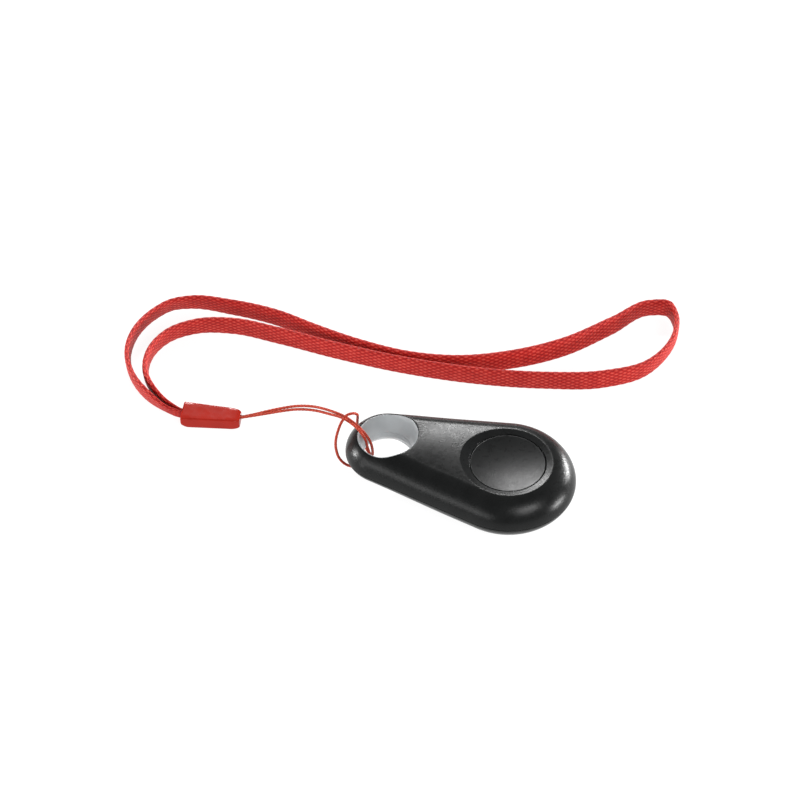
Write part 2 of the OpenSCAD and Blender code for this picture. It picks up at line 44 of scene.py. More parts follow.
# Camera, as the photograph was taken
CAMERA_PLACE = Vector((90.48, -322.56, 374.98)) * MM
CAMERA_AIM = Vector((-0.2131, 0.6594, -0.7209))
CAMERA_LENS, CAMERA_SENSOR, CAMERA_NEAR = 101.9, 36, 0.01

camera = bpy.data.objects.new("camera", bpy.data.cameras.new("camera"))
camera.location = CAMERA_PLACE
camera.rotation_euler = CAMERA_AIM.to_track_quat("-Z", "Y").to_euler()
camera.data.lens = CAMERA_LENS
camera.data.sensor_width = CAMERA_SENSOR
camera.data.clip_start = CAMERA_NEAR
bpy.context.scene.collection.objects.link(camera)
bpy.context.scene.camera = camera

# Routes, the same points as in the part's source
# Strap: x, y, z, lean in degrees, share of full size
STRAP_ROUTE = [
    [-61.6, 0.24, 1.55, 0, 0.44], [-65.7, -0.56, 1.55, 0, 0.44], [-68.9, -0.5, 2, 22, 0.7],
    [-74.3, 1.4, 2.7, 19, 1], [-80.7, 6.5, 2.7, 17, 1], [-84.3, 12.4, 2.7, 18, 1],
    [-85.4, 20.2, 2.7, 22, 1], [-83.4, 27.4, 2.7, 22, 1], [-81, 31, 2.7, 20, 1], [-76.6, 33.5, 2.7, 14, 1],
    [-67.1, 34.8, 2.7, 6, 1], [-55, 34.7, 2.7, 2, 1], [-45.5, 32.9, 2.7, 0, 1], [-34, 31.3, 2.7, 0, 1],
    [-21, 31.1, 2.7, 0, 1], [-9.8, 33.4, 2.7, -2, 1], [0, 37.8, 2.7, -8, 1], [11.5, 46.1, 2.7, -11, 1],
    [20.5, 56.5, 2.7, -7, 1], [27.5, 65.1, 2.7, 4, 1], [31.8, 66.1, 2.7, 3, 1], [34.2, 63.1, 2.7, 4, 1],
    [35.3, 57.4, 2.7, 9, 1], [34.5, 51.8, 2.7, 10, 1], [31.1, 44.8, 2.7, 4, 1], [23, 38.8, 2.7, -3, 1],
    [9.8, 34.1, 2.7, 0, 1], [-6, 30.7, 2.7, 0, 1], [-23, 28.9, 2.7, 0, 1], [-39, 28.7, 2.7, 0, 1],
    [-53, 29.2, 2.7, 0, 1], [-64.5, 28.9, 2.7, 3, 1], [-72.5, 26.2, 2.7, 8, 1], [-77.6, 21.4, 2.7, 12, 1],
    [-79.5, 15.3, 2.7, 16, 1], [-78.3, 8.7, 2.7, 19, 1], [-73.8, 3.3, 2.7, 21, 1],
    [-69.6, 1.1, 2.05, 22, 0.74], [-65.8, 0.11, 1.55, 0, 0.44], [-61.8, 0.91, 1.55, 0, 0.44],
]
LEAN_TURN = math.radians(-72)
STRAP_W, STRAP_T = 5.2, 1.3

STRING_ROUTE = [
    (-56.85, 1.95, 1.7), (-52.6, 2.75, 1.7), (-50.45, 3.45, 2.25), (-46.95, 4.1, 3.9),
    (-43.4, 4.6, 5.6), (-39.75, 4.8, 7.3), (-35.55, 4.3, 9), (-31.05, 3.1, 10.3),
    (-27.7, 2.2, 10.65), (-24.95, 0.7, 11.05), (-22.5, -0.7, 10.85), (-20.85, -1.2, 9.35),
    (-20, -0.5, 4.4), (-20.4, 0.3, 2.2), (-21.6, 1.8, 1), (-23.4, 3.7, 1), (-24.9, 5.1, 2.4),
    (-25.6, 5.6, 4.8), (-25.4, 5.1, 7.2), (-25, 4.1, 9.4), (-24.8, 3, 11.3), (-25.3, 2, 12.4),
    (-26.3, 1.1, 12.5), (-27.1, 0, 11.5), (-27.7, -1, 9.6), (-27.8, -2.7, 4.7), (-26.8, -3.2, 2.4),
    (-25.2, -3.2, 1), (-23.2, -3, 0.8), (-21.2, -2.5, 1.4), (-20.3, -2, 3), (-20.8, -1.9, 7.4),
    (-21.1, -2, 9.25), (-22.7, -1.4, 11.15), (-25.3, 0.1, 11.35), (-28, 1.5, 10.75),
    (-31.1, 2.45, 9.9), (-35.45, 3.7, 8.45), (-39.65, 4.15, 6.9), (-43.25, 3.9, 5.4),
    (-46.85, 3.4, 3.9), (-50.4, 2.8, 2.55), (-52.45, 2.05, 2.2), (-56.7, 1.2, 2.2),
]
STRING_D = 0.65

# A route is measured on a dense curve: its spacing, and the fewest points between two rows
DENSE_STEP, DENSE_LEAST = 0.05, 4


def unit_rows(a):
    return a / np.maximum(np.linalg.norm(a, axis=1, keepdims=True), 1e-12)


def smooth_route(route, step):
    """Points about a step apart on a smooth curve through the route, with what else its rows hold."""
    rows = np.array(route, float)
    gaps = np.linalg.norm(np.diff(rows[:, :3], axis=0), axis=1)
    slopes = np.diff(rows, axis=0) / gaps[:, None]
    tangents = np.empty_like(rows)
    weights = (gaps[1:] / (gaps[:-1] + gaps[1:]))[:, None]
    tangents[1:-1] = slopes[:-1] * weights + slopes[1:] * (1 - weights)
    tangents[0], tangents[-1] = slopes[0], slopes[-1]
    dense = []
    for k, gap in enumerate(gaps):
        s = np.linspace(0, 1, max(int(gap / DENSE_STEP), DENSE_LEAST), endpoint=False)[:, None]
        dense.append(
            (1 + 2 * s) * (1 - s) ** 2 * rows[k] + s * (1 - s) ** 2 * gap * tangents[k]
            + s * s * (3 - 2 * s) * rows[k + 1] - s * s * (1 - s) * gap * tangents[k + 1]
        )
    dense = np.vstack(dense + [rows[-1:]])
    run = np.concatenate([[0], np.cumsum(np.linalg.norm(np.diff(dense[:, :3], axis=0), axis=1))])
    count = int(round(run[-1] / step)) + 1
    at = np.linspace(0, run[-1], count)
    return np.stack([np.interp(at, run, dense[:, k]) for k in range(rows.shape[1])], axis=1), at


def headings_of(points):
    return unit_rows(np.gradient(points, axis=0))


# Mesh helpers
class Shape:
    """Vertices in millimetres and faces, built loop by loop."""

    def __init__(self):
        self.points = []
        self.faces = []

    def add(self, points):
        first = len(self.points)
        self.points += [tuple(float(c) for c in p) for p in points]
        return list(range(first, len(self.points)))

    def strip(self, a, b, closed=True):
        n = len(a)
        for i in range(n if closed else n - 1):
            j = (i + 1) % n
            self.faces.append((a[i], a[j], b[j], b[i]))

    def loops(self, loops):
        for a, b in zip(loops, loops[1:]):
            self.strip(a, b)

    def fan(self, loop, centre):
        hub = self.add([centre])[0]
        for i in range(len(loop)):
            self.faces.append((loop[i], loop[(i + 1) % len(loop)], hub))

    def make(self, name, body, material, replaces=(), sharp=math.radians(38), weighted=True):
        mesh = bpy.data.meshes.new(name)
        mesh.from_pydata([tuple(c * MM for c in p) for p in self.points], [], self.faces)
        bm = bmesh.new()
        bm.from_mesh(mesh)
        bmesh.ops.recalc_face_normals(bm, faces=bm.faces)
        for face in bm.faces:
            face.smooth = True
        for edge in bm.edges:
            edge.smooth = edge.calc_face_angle(0) < sharp
        bm.to_mesh(mesh)
        bm.free()
        piece = bpy.data.objects.new(name, mesh)
        bpy.context.scene.collection.objects.link(piece)
        mesh.materials.append(material)
        if weighted:
            normals = piece.modifiers.new("normals", "WEIGHTED_NORMAL")
            normals.keep_sharp = True
        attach(piece, body)
        if replaces:
            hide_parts(*replaces)
        return piece


# Largest share of a side that a rounded corner may take
CUT_SHARE = 0.48


def rounded(corners, steps=4):
    """A profile of (r, z, corner radius) rows with its corners rounded, as (r, z) points."""
    out = []
    n = len(corners)
    for i, (x, z, r) in enumerate(corners):
        here = np.array([x, z], float)
        if r <= 0 or i in (0, n - 1):
            out.append((x, z))
            continue
        to_a = np.array(corners[i - 1][:2], float) - here
        to_b = np.array(corners[i + 1][:2], float) - here
        a, b = np.linalg.norm(to_a), np.linalg.norm(to_b)
        cut = min(r, CUT_SHARE * a, CUT_SHARE * b)
        p, q = here + to_a / a * cut, here + to_b / b * cut
        for k in range(steps + 1):
            s = k / steps
            out.append(tuple((1 - s) ** 2 * p + 2 * s * (1 - s) * here + s * s * q))
    return out


def turned(shape, profile, centre_x, count):
    """Revolves an open profile that starts and ends on the axis."""
    angles = [2 * math.pi * k / count for k in range(count)]
    loops = []
    for r, z in profile:
        if r < 1e-6:
            loops.append((r, z))
            continue
        loops.append(shape.add([(centre_x + r * math.cos(a), r * math.sin(a), z) for a in angles]))
    for a, b in zip(loops, loops[1:]):
        if isinstance(a, tuple) and isinstance(b, tuple):
            continue
        if isinstance(a, tuple):
            shape.fan(b[::-1], (centre_x, 0, a[1]))
        elif isinstance(b, tuple):
            shape.fan(a, (centre_x, 0, b[1]))
        else:
            shape.strip(a, b)


# Material helpers
def nodes_of(name):
    material = bpy.data.materials.new(name)
    material.use_nodes = True
    tree = material.node_tree
    return material, tree, tree.nodes["Principled BSDF"]


def add(tree, kind, inputs=None, **values):
    node = tree.nodes.new(kind)
    for key, value in values.items():
        setattr(node, key, value)
    for key, value in (inputs or {}).items():
        if isinstance(value, bpy.types.NodeSocket):
            tree.links.new(value, node.inputs[key])
        else:
            node.inputs[key].default_value = value
    return node


def maths(tree, operation, a, b=0.0, c=None):
    inputs = {0: a, 1: b}
    if c is not None:
        inputs[2] = c
    return add(tree, "ShaderNodeMath", inputs, operation=operation).outputs[0]


def noise(tree, place, scale, detail=2.0, rough=0.5):
    inputs = {"Vector": place, "Scale": scale, "Detail": detail, "Roughness": rough}
    return add(tree, "ShaderNodeTexNoise", inputs).outputs["Fac"]


def spread(tree, value, low, high, to_low, to_high):
    return add(
        tree, "ShaderNodeMapRange",
        {"Value": value, "From Min": low, "From Max": high, "To Min": to_low, "To Max": to_high},
    ).outputs["Result"]


def blend_colours(tree, share, dark, light):
    node = add(tree, "ShaderNodeMix", data_type="RGBA")
    tree.links.new(share, node.inputs[0])
    for socket, value in ((6, dark), (7, light)):
        if isinstance(value, bpy.types.NodeSocket):
            tree.links.new(value, node.inputs[socket])
        else:
            node.inputs[socket].default_value = (*value, 1)
    return node.outputs[2]


def bump(tree, height, strength, distance):
    inputs = {"Height": height, "Strength": strength, "Distance": distance}
    return add(tree, "ShaderNodeBump", inputs).outputs["Normal"]


# Part of a noise's range that is put to use, and how fine the gloss varies beside the colour
NOISE_LOW, NOISE_HIGH = 0.3, 0.7
GLOSS_SCALE = 3
PATCH_DETAIL, GLOSS_DETAIL, GRAIN_DETAIL, GRAIN_ROUGH = 3.0, 4.0, 2.0, 0.6


def finish_of(name, dark, light, patch, gloss, grain, depth, grain_share=1.0, **sockets):
    """Moulded, plated or printed finish: colour patches, roughness that varies, and a fine grain."""
    material, tree, shader = nodes_of(name)
    place = add(tree, "ShaderNodeTexCoord").outputs["Object"]
    patches = noise(tree, place, patch, PATCH_DETAIL)
    colour = blend_colours(tree, spread(tree, patches, NOISE_LOW, NOISE_HIGH, 0, 1), dark, light)
    tree.links.new(colour, shader.inputs["Base Color"])
    shine = noise(tree, place, patch * GLOSS_SCALE, GLOSS_DETAIL)
    tree.links.new(spread(tree, shine, NOISE_LOW, NOISE_HIGH, *gloss), shader.inputs["Roughness"])
    fine = noise(tree, place, grain, GRAIN_DETAIL, GRAIN_ROUGH)
    tree.links.new(bump(tree, fine, grain_share, depth), shader.inputs["Normal"])
    for socket, value in sockets.items():
        shader.inputs[socket.replace("_", " ")].default_value = value
    return material


BLACK_CASE = finish_of(
    "case_black", (0.0062, 0.0066, 0.0066), (0.0085, 0.009, 0.009), 260, (0.25, 0.31), 3300, 0.00003, 0.8,
    Specular_IOR_Level=0.17,
)
BLACK_KEY = finish_of(
    "button_black", (0.0066, 0.007, 0.007), (0.009, 0.0095, 0.0095), 300, (0.26, 0.32), 3500, 0.00003, 0.7,
    Specular_IOR_Level=0.12,
)
LINER_GREY = finish_of(
    "liner_grey", (0.36, 0.38, 0.39), (0.42, 0.44, 0.45), 180, (0.16, 0.22), 900, 0.00002, 0.06,
    Specular_IOR_Level=0.35,
)
CLAMP_RED = finish_of(
    "clamp_red", (0.33, 0.017, 0.010), (0.37, 0.020, 0.012), 220, (0.13, 0.18), 2200, 0.00002, 0.05,
    Specular_IOR_Level=0.12,
)
FLOOR_WHITE = finish_of(
    "floor_white", (0.14, 0.14, 0.14), (0.16, 0.16, 0.16), 30, (0.75, 0.85), 600, 0.00002, 0.2,
    Emission_Color=(1, 1, 1, 1), Emission_Strength=0.92,
)

# Strap: flat braid that stands on its edge
WEAVE_PITCH = 2.0
WEAVE_PAIRS = 12
WEAVE_DEPTH = 0.08
RING_STEP = 0.2
AROUND = 96
# The band's section is a rounded oblong of this power, measured on so many points
SECTION_POWER, SECTION_POINTS = 3.4, 4000
# A strand: how square its back is, how low its ends lie, and how full its arch is
BACK_POWER, END_LOW, ARCH_POWER = 2.4, 0.3, 0.8


def strap_outline():
    """Points at even steps around the band's section, and the outward direction at each."""
    turns = np.linspace(0, 2 * math.pi, SECTION_POINTS + 1)[:-1]
    power = 2 / SECTION_POWER
    x = STRAP_W / 2 * np.sign(np.cos(turns)) * np.abs(np.cos(turns)) ** power
    y = STRAP_T / 2 * np.sign(np.sin(turns)) * np.abs(np.sin(turns)) ** power
    closed = np.stack([np.append(x, x[0]), np.append(y, y[0])], axis=1)
    run = np.concatenate([[0], np.cumsum(np.linalg.norm(np.diff(closed, axis=0), axis=1))])
    at = np.linspace(0, run[-1], AROUND + 1)[:-1]
    points = np.stack([np.interp(at, run, closed[:, k]) for k in range(2)], axis=1)
    around = np.roll(points, -1, axis=0) - np.roll(points, 1, axis=0)
    out = unit_rows(np.stack([around[:, 1], -around[:, 0]], axis=1))
    return points, out


def weave_height(u, v):
    """Height of the braid, 0 to 1, at u pitches along and v pairs of strands around."""
    a, b = u + v, u - v
    fa, fb = a - np.floor(a), b - np.floor(b)
    over = (np.floor(a) + np.floor(b)) % 2 < 1
    along, across = np.where(over, fa, fb), np.where(over, fb, fa)
    crown = np.sqrt(np.maximum(1 - np.abs(2 * across - 1) ** BACK_POWER, 0))
    arch = END_LOW + (1 - END_LOW) * np.sin(math.pi * along) ** ARCH_POWER
    return crown * arch


def lay_weave(piece, u, v, pairs):
    """Coordinates of the braid: u pitches along each ring and v pairs of strands around it."""
    layer = piece.data.uv_layers.new(name="weave")
    uv = np.zeros((len(piece.data.loops), 2), np.float32)
    vertex = np.zeros(len(piece.data.loops), np.int32)
    piece.data.loops.foreach_get("vertex_index", vertex)
    real = vertex < len(u) * len(v)
    uv[real, 0] = u[vertex[real] // len(v)]
    uv[real, 1] = v[vertex[real] % len(v)]
    sizes = np.zeros(len(piece.data.polygons), np.int32)
    piece.data.polygons.foreach_get("loop_total", sizes)
    starts = np.concatenate([[0], np.cumsum(sizes)[:-1]])
    for start, size in zip(starts, sizes):
        part = uv[start:start + size, 1]
        if part.max() - part.min() > pairs / 2:
            part[part < pairs / 2] += pairs
    layer.data.foreach_set("uv", uv.ravel())


def build_strap(material):
    route, run = smooth_route(STRAP_ROUTE, RING_STEP)
    centre = route[:, :3]
    lean = np.radians(route[:, 3])
    ahead = headings_of(centre)
    lean_to = np.stack(
        [np.sin(lean) * math.cos(LEAN_TURN), np.sin(lean) * math.sin(LEAN_TURN), np.cos(lean)], axis=1
    )
    across = unit_rows(lean_to - (lean_to * ahead).sum(1, keepdims=True) * ahead)
    through = np.cross(ahead, across)
    outline, out = strap_outline()
    v = np.arange(AROUND) / AROUND * WEAVE_PAIRS
    u = run / WEAVE_PITCH
    height = weave_height(u[:, None], v[None, :])
    ring = outline[None] + out[None] * (height[..., None] - 1) * WEAVE_DEPTH
    ring = ring * route[:, 4][:, None, None]
    points = centre[:, None] + ring[..., :1] * across[:, None] + ring[..., 1:] * through[:, None]
    shape = Shape()
    count = len(centre)
    shape.points = [tuple(p) for p in points.reshape(-1, 3)]
    index = np.arange(count * AROUND).reshape(count, AROUND)
    nxt = np.roll(index, -1, axis=1)
    quads = np.stack([index[:-1], nxt[:-1], nxt[1:], index[1:]], axis=-1).reshape(-1, 4)
    shape.faces = [tuple(int(i) for i in q) for q in quads]
    shape.fan(list(range(AROUND))[::-1], centre[0])
    shape.fan([int(i) for i in index[-1]], centre[-1])
    piece = shape.make(
        "wrist_strap_braid", "case", material, ["wrist_strap"], sharp=math.pi, weighted=False
    )
    lay_weave(piece, u, v, WEAVE_PAIRS)


# Braid's colours: how fast a strand darkens to its sides and ends as painted shade, and where one colour turns
# to the next, from painted shade to the strand's red and from that to a painted highlight
SIDE_POWER, END_POWER = 2.2, 2.5
STAIN_SCALE, STAIN_SHARE = 420, 0.15
# Shares of a strand's crown where the painted shade between strands turns to the strand's red, and where that
# red turns to a painted highlight
SHADE_TO_STRAND, STRAND_TO_HIGHLIGHT = (0.0, 0.55), (0.6, 1.0)
# Braid's surface: fibres across a strand beside the fuzz, its bump, and its roughness
FIBRES, FIBRE_SHARE = 5, 0.4
BRAID_BUMP, BRAID_RELIEF = 0.6, 0.00004
BRAID_GLOSS, BRAID_SPECULAR = (0.42, 0.58), 0.16


def braid_material(name, gap, strand, painted_highlight, fuzz_scale):
    """Braided yarn: painted shade between the strands, a painted highlight on their crowns, and fibres along
    each strand.
    """
    material, tree, shader = nodes_of(name)
    uv = add(tree, "ShaderNodeUVMap", uv_map="weave").outputs["UV"]
    split = add(tree, "ShaderNodeSeparateXYZ", {"Vector": uv})
    u, v = split.outputs[0], split.outputs[1]
    a, b = maths(tree, "ADD", u, v), maths(tree, "SUBTRACT", u, v)
    fa, fb = maths(tree, "FRACT", a), maths(tree, "FRACT", b)
    cells = maths(tree, "ADD", maths(tree, "FLOOR", a), maths(tree, "FLOOR", b))
    under = maths(tree, "FLOORED_MODULO", cells, 2.0)
    across = add(tree, "ShaderNodeMix", {0: under, 2: fb, 3: fa}).outputs[0]
    along = add(tree, "ShaderNodeMix", {0: under, 2: fa, 3: fb}).outputs[0]
    edge = maths(tree, "ABSOLUTE", maths(tree, "MULTIPLY_ADD", across, 2.0, -1.0))
    end = maths(tree, "ABSOLUTE", maths(tree, "MULTIPLY_ADD", along, 2.0, -1.0))
    body = maths(tree, "SUBTRACT", 1.0, maths(tree, "POWER", edge, SIDE_POWER))
    arch = maths(tree, "SUBTRACT", 1.0, maths(tree, "POWER", end, END_POWER))
    crown = maths(tree, "MULTIPLY", body, arch)
    place = add(tree, "ShaderNodeTexCoord").outputs["Object"]
    stains = noise(tree, place, STAIN_SCALE, PATCH_DETAIL)
    stains = spread(tree, stains, NOISE_LOW, NOISE_HIGH, -STAIN_SHARE, STAIN_SHARE)
    share = add(tree, "ShaderNodeClamp", {"Value": maths(tree, "ADD", crown, stains)}).outputs[0]
    # Painted shade between the strands, blended into the strand's red
    lower = blend_colours(tree, spread(tree, share, *SHADE_TO_STRAND, 0, 1), gap, strand)
    # The strand's red, blended into a painted highlight on its crown
    colour = blend_colours(tree, spread(tree, share, *STRAND_TO_HIGHLIGHT, 0, 1), lower, painted_highlight)
    tree.links.new(colour, shader.inputs["Base Color"])
    fibres = maths(tree, "SINE", maths(tree, "MULTIPLY", across, 2 * math.pi * FIBRES))
    fuzz = noise(tree, place, fuzz_scale, GRAIN_DETAIL)
    height = maths(tree, "MULTIPLY_ADD", fibres, FIBRE_SHARE, fuzz)
    tree.links.new(bump(tree, height, BRAID_BUMP, BRAID_RELIEF), shader.inputs["Normal"])
    tree.links.new(spread(tree, fuzz, NOISE_LOW, NOISE_HIGH, *BRAID_GLOSS), shader.inputs["Roughness"])
    shader.inputs["Specular IOR Level"].default_value = BRAID_SPECULAR
    return material


build_strap(
    # Strap colours: dark red painted shade between the strands, the strands' red, and a lighter painted
    # highlight on their crowns
    braid_material("strap_red", (0.26, 0.006, 0.006), (0.42, 0.014, 0.010), (0.56, 0.060, 0.044), 9000)
)

# String: a fine round braid
STRING_PITCH, STRING_PAIRS = 0.95, 4
STRING_DEPTH = 0.05
STRING_STEP = 0.1
STRING_AROUND = 24


def build_string(material):
    route, run = smooth_route(STRING_ROUTE, STRING_STEP)
    centre = route[:, :3]
    ahead = headings_of(centre)
    side = np.cross(ahead[0], (0, 0, 1.0))
    sides = []
    for t in ahead:
        side = side - np.dot(side, t) * t
        side = side / np.linalg.norm(side)
        sides.append(side)
    sides = np.array(sides)
    other = np.cross(ahead, sides)
    angle = 2 * math.pi * np.arange(STRING_AROUND) / STRING_AROUND
    u, v = run / STRING_PITCH, STRING_PAIRS * np.arange(STRING_AROUND) / STRING_AROUND
    radius = STRING_D / 2 - STRING_DEPTH * (1 - weave_height(u[:, None], v[None, :]))
    points = (
        centre[:, None]
        + (radius * np.cos(angle))[..., None] * sides[:, None]
        + (radius * np.sin(angle))[..., None] * other[:, None]
    )
    shape = Shape()
    loops = [shape.add(ring) for ring in points]
    shape.loops(loops)
    shape.fan(loops[0][::-1], centre[0])
    shape.fan(loops[-1], centre[-1])
    piece = shape.make(
        "string_twine", "case", material, ["string_loop"], sharp=math.pi, weighted=False
    )
    lay_weave(piece, u, v, STRING_PAIRS)


build_string(
    # String colours: dark painted shade between the strands, the strands' orange red, and a lighter painted
    # highlight on their crowns
    braid_material("string_red", (0.28, 0.022, 0.010), (0.42, 0.042, 0.020), (0.55, 0.085, 0.045), 12000)
)

# Case: its surfaces as functions of the place
WIDE_X, WIDE_R = 10.9, 15.1
NARROW_X, NARROW_R = -16.6, 9.4
SEAM_Z, RISE, TAIL_DROP = 5.4, 5.9, 4.4
EDGE_W, EDGE_POWER, UNDER_POWER = 5.6, 1.74, 1.6
WALL, SEAM_GAP = 1.3, 0.12
# The top is crowned: its middle is this much above its edges, and at the eyelet's end it is flat
CROWN = 0.36
CROWN_START, CROWN_FULL = -15.0, -4.0
# Share of the crown by which the flat end lies lower than the crown's middle
TAIL_LOW = 0.3
REST_R = WIDE_R - EDGE_W
CENTRE_GAP = WIDE_X - NARROW_X
SIN_T = (WIDE_R - NARROW_R) / CENTRE_GAP
COS_T = math.sqrt(1 - SIN_T ** 2)
HOLE_R = 6.8
OPENING_R, SINK_R, SINK_SWELL, SINK_DEPTH = 8.40, 9.80, 0.7, 0.7
TOP_Z = SEAM_Z + RISE
ROOF_Z = TOP_Z - WALL
FLANGE_ROOM_R = 9.25
LIP_OUT, LIP_IN, LIP_Z = 1.7, 2.4, 6.2


def inset_at(x, y):
    """Distance in from the case's outline, and the outward direction of the outline there."""
    a, t = abs(y), WIDE_X - x
    k = COS_T * t - SIN_T * a
    side = 1 if y >= 0 else -1
    if k < 0:
        r = max(math.hypot(a, t), 1e-9)
        return WIDE_R - r, (-t / r, side * a / r)
    if k > CENTRE_GAP * COS_T:
        r = max(math.hypot(a, t - CENTRE_GAP), 1e-9)
        return NARROW_R - r, ((CENTRE_GAP - t) / r, side * a / r)
    return WIDE_R - (COS_T * a + SIN_T * t), (-SIN_T, side * COS_T)


def edge_curve(share, power):
    share = min(max(share, 0.0), 1.0)
    return (1 - (1 - share) ** power) ** (1 / power)


def ease(share):
    share = min(max(share, 0.0), 1.0)
    return share * share * (3 - 2 * share)


def top_z(x, y, wall=0.0):
    """Height of the top: a rounded edge, and the crown inside it."""
    inset = inset_at(x, y)[0]
    half = WIDE_R + (NARROW_R - WIDE_R) * min(max((WIDE_X - x) / CENTRE_GAP, 0), 1)
    inward = min(max((inset - EDGE_W) / (half - EDGE_W), 0), 1)
    web = ease((x - CROWN_START) / (CROWN_FULL - CROWN_START))
    crown = CROWN * (1 - (1 - inward) ** 2) * web
    low = CROWN * (TAIL_LOW + (1 - TAIL_LOW) * web)
    return SEAM_Z + (RISE - low - wall) * edge_curve((inset - wall) / EDGE_W, EDGE_POWER) + crown


def under_z(x, y, wall=0.0):
    drop = SEAM_Z + (TAIL_DROP - SEAM_Z) * ease((WIDE_X - REST_R - x) / (CENTRE_GAP - REST_R))
    base = 0.0 if wall else SEAM_GAP
    curve = edge_curve((inset_at(x, y)[0] - wall) / EDGE_W, UNDER_POWER)
    return SEAM_Z - base - (drop - wall - base) * curve


WIDE_COLUMNS, WEB_ROWS, FLANK_COLUMNS, NARROW_COLUMNS = 100, 40, 40, 76
WIDE_TURN, NARROW_TURN = math.radians(132), math.radians(56)
RINGS = 30
# How the rings crowd towards the outline, where the edge is steep
CROWDING = 1.25


def edge_angle(depth):
    if depth < EDGE_W:
        return math.acos((1 - depth / EDGE_W) ** (1 / CROWDING))
    return math.pi / 2 + CROWDING * (depth - EDGE_W) / EDGE_W


def edge_depth(angle):
    if angle < math.pi / 2:
        return EDGE_W * (1 - math.cos(angle) ** CROWDING)
    return EDGE_W * (1 + (angle - math.pi / 2) / CROWDING)


class Skin:
    """A shell's surface: rings from the outline in to the wide and narrow circles, and the web between."""

    def __init__(self, shape, height, wide_r, narrow_r, wall=0.0, start=0.0, lead=()):
        def on_wide(turn):
            r = wide_r(turn)
            return WIDE_X + r * math.cos(turn), r * math.sin(turn)

        def on_narrow(turn):
            return NARROW_X + narrow_r * math.cos(turn), narrow_r * math.sin(turn)

        def between(p, q, s):
            return p[0] + (q[0] - p[0]) * s, p[1] + (q[1] - p[1]) * s

        wide = [on_wide(-WIDE_TURN + 2 * WIDE_TURN * i / WIDE_COLUMNS) for i in range(WIDE_COLUMNS + 1)]
        narrow_span = 2 * (math.pi - NARROW_TURN)
        narrow = [
            on_narrow(NARROW_TURN + narrow_span * i / NARROW_COLUMNS) for i in range(NARROW_COLUMNS + 1)
        ]
        shares = [i / FLANK_COLUMNS for i in range(1, FLANK_COLUMNS)]
        inner = (
            wide + [between(wide[-1], narrow[0], s) for s in shares]
            + narrow + [between(narrow[-1], wide[0], s) for s in shares]
        )
        self.columns = []
        for x, y in inner:
            inset, out = inset_at(x, y)
            self.columns.append((x + out[0] * inset, y + out[1] * inset, out, inset))
        self.shape = shape
        rings = [self.ring(v, z) for v, z in lead]
        for k in range(1 if lead else 0, RINGS + 1):
            points = []
            for (x, y), (fx, fy, out, inset) in zip(inner, self.columns):
                low, high = edge_angle(start - wall), edge_angle(inset - wall)
                v = wall + edge_depth(low + (high - low) * k / RINGS)
                px, py = (x, y) if k == RINGS else (fx - out[0] * v, fy - out[1] * v)
                points.append((px, py, height(px, py)))
            rings.append(shape.add(points))
        shape.loops(rings)
        self.first = rings[0]
        last = rings[-1]
        start_narrow = WIDE_COLUMNS + FLANK_COLUMNS
        end_narrow = start_narrow + NARROW_COLUMNS
        upper = last[WIDE_COLUMNS:start_narrow + 1]
        lower = (last[end_narrow:] + [last[0]])[::-1]
        rows = [upper]
        for j in range(1, WEB_ROWS):
            s = j / WEB_ROWS
            p = on_wide(WIDE_TURN + 2 * (math.pi - WIDE_TURN) * s)
            q = on_narrow(NARROW_TURN - 2 * NARROW_TURN * s)
            line = [between(p, q, i / FLANK_COLUMNS) for i in range(FLANK_COLUMNS + 1)]
            rows.append(shape.add([(x, y, height(x, y)) for x, y in line]))
        rows.append(lower)
        for a, b in zip(rows, rows[1:]):
            shape.strip(a, b, closed=False)
        self.wide_loop = last[:WIDE_COLUMNS + 1] + [row[0] for row in rows[1:-1]]
        self.narrow_loop = last[start_narrow:end_narrow + 1] + [row[-1] for row in rows[-2:0:-1]]
        self.wide_turns = self.turns(self.wide_loop, WIDE_X)
        self.narrow_turns = self.turns(self.narrow_loop, NARROW_X)

    def turns(self, loop, centre_x):
        return [math.atan2(self.shape.points[i][1], self.shape.points[i][0] - centre_x) for i in loop]

    def ring(self, v, z):
        return self.shape.add([(x - out[0] * v, y - out[1] * v, z) for x, y, out, inset in self.columns])


def bend(p, corner, q, steps=4):
    """The points of a rounded corner from p to q, without p."""
    out = []
    for k in range(1, steps + 1):
        s = k / steps
        out.append(tuple((1 - s) ** 2 * a + 2 * s * (1 - s) * c + s * s * b for a, c, b in zip(p, corner, q)))
    return out


def sink_rim(turn):
    """Radius where the case's top meets the conical sink: larger towards the web."""
    return SINK_R + SINK_SWELL * max(-math.cos(turn), 0) ** 3


RIM_ROUND, FOOT_ROUND, HOLE_ROUND = 0.16, 0.06, 0.16
SINK_SHARES = (0.06, 0.35, 0.65, 0.94)
# Rounded edge at the seam: how far in from the outline, and how far from the seam
SEAM_EDGE = ((0.08, 0), (0.04, 0.01), (0.014, 0.04), (0.004, 0.09))
LIP_BEVEL, LIP_EASE = 0.15, 0.1


def hole_profile(height, way):
    """Rounded edge of the eyelet hole and the start of its wall, as a function of the turn."""
    def profile(turn):
        def at(r):
            return r, height(NARROW_X + r * math.cos(turn), r * math.sin(turn))
        p, corner = at(HOLE_R + HOLE_ROUND), at(HOLE_R)
        q = (HOLE_R, corner[1] + way * HOLE_ROUND)
        return bend(p, corner, q) + [(HOLE_R, corner[1] + way * 2 * HOLE_ROUND)]
    return profile


def profile_loops(shape, turns, centre_x, profile):
    columns = [profile(turn) for turn in turns]
    return [
        shape.add([
            (centre_x + column[k][0] * math.cos(turn), column[k][0] * math.sin(turn), column[k][1])
            for column, turn in zip(columns, turns)
        ])
        for k in range(len(columns[0]))
    ]


